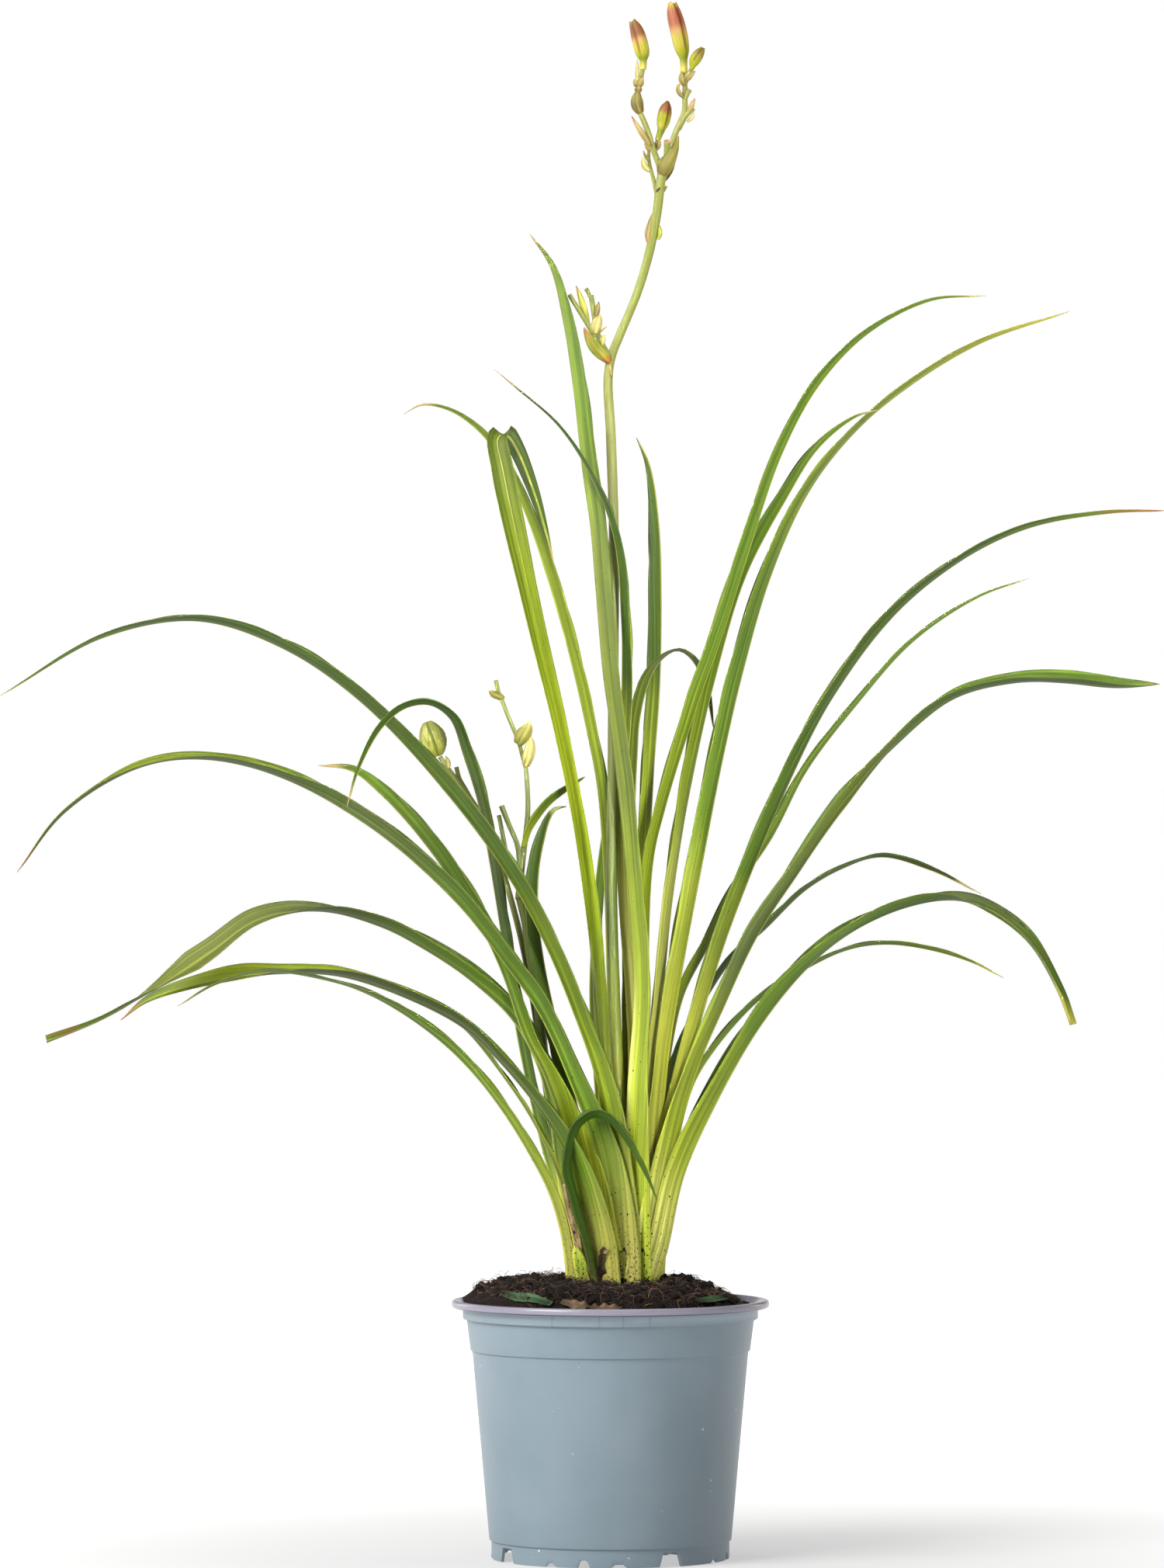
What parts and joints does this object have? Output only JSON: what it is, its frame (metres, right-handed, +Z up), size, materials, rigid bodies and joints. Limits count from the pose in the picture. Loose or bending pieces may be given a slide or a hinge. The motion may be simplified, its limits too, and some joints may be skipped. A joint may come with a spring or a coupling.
{
  "type": "potted daylily plant",
  "caption": "Flowering daylily clump with long arching strap leaves, a budding flower stem and cut stems, growing in a round plastic nursery pot.",
  "frame": {"origin": "centre of the pot's underside, at the central hub that the pot stands on", "axes": "+Z up along the pot's axis, -Y towards the front from which the plant is seen, +X to the right"},
  "size_m": [0.6265, 0.17, 0.8339],
  "materials": {
    "pot_plastic": "satin",
    "peat": "matte",
    "root": "matte",
    "leaf": "satin",
    "young_leaf": "satin",
    "dark_leaf": "satin",
    "stem": "satin",
    "bud": "satin",
    "capsule": "satin",
    "dry_leaf": "matte"
  },
  "bodies": {
    "root": {"pot": "pot_plastic", "soil": "peat", "root_crown": "root", "leaf_left_high": "leaf", "leaf_left_second": "leaf", "leaf_left_veined": "young_leaf", "leaf_left_bent": "leaf", "leaf_left_wavy": "leaf", "leaf_left_dark": "dark_leaf", "leaf_left_narrow": "young_leaf", "leaf_left_lowest": "young_leaf", "leaf_left_hooked": "leaf", "leaf_tall": "young_leaf", "leaf_tall_thin_tip": "young_leaf", "leaf_folded": "young_leaf", "leaf_tall_back": "leaf", "leaf_inner_low": "leaf", "leaf_upright": "leaf", "leaf_hooked": "leaf", "leaf_right_first": "leaf", "leaf_right_second": "leaf", "leaf_right_third": "young_leaf", "leaf_right_fourth": "leaf", "leaf_right_spoon": "leaf", "leaf_right_low_arch": "leaf", "leaf_right_behind_low": "leaf", "leaf_right_behind_high": "leaf", "leaf_right_lowest": "young_leaf", "leaf_front_curled": "dark_leaf", "leaf_front_sheath": "young_leaf", "dried_sheath": "dry_leaf", "dried_stub": "dry_leaf", "flower_stem_main": "stem", "flower_stem_second": "stem", "flower_stem_third": "stem", "bud_left": "bud", "bud_middle": "bud", "bud_right_large": "bud", "bud_right_small": "bud", "seed_capsule": "capsule", "cut_leaf_front": "dark_leaf", "cut_leaf_right": "dark_leaf", "cut_leaf_dry": "dry_leaf"}
  },
  "joints": []
}
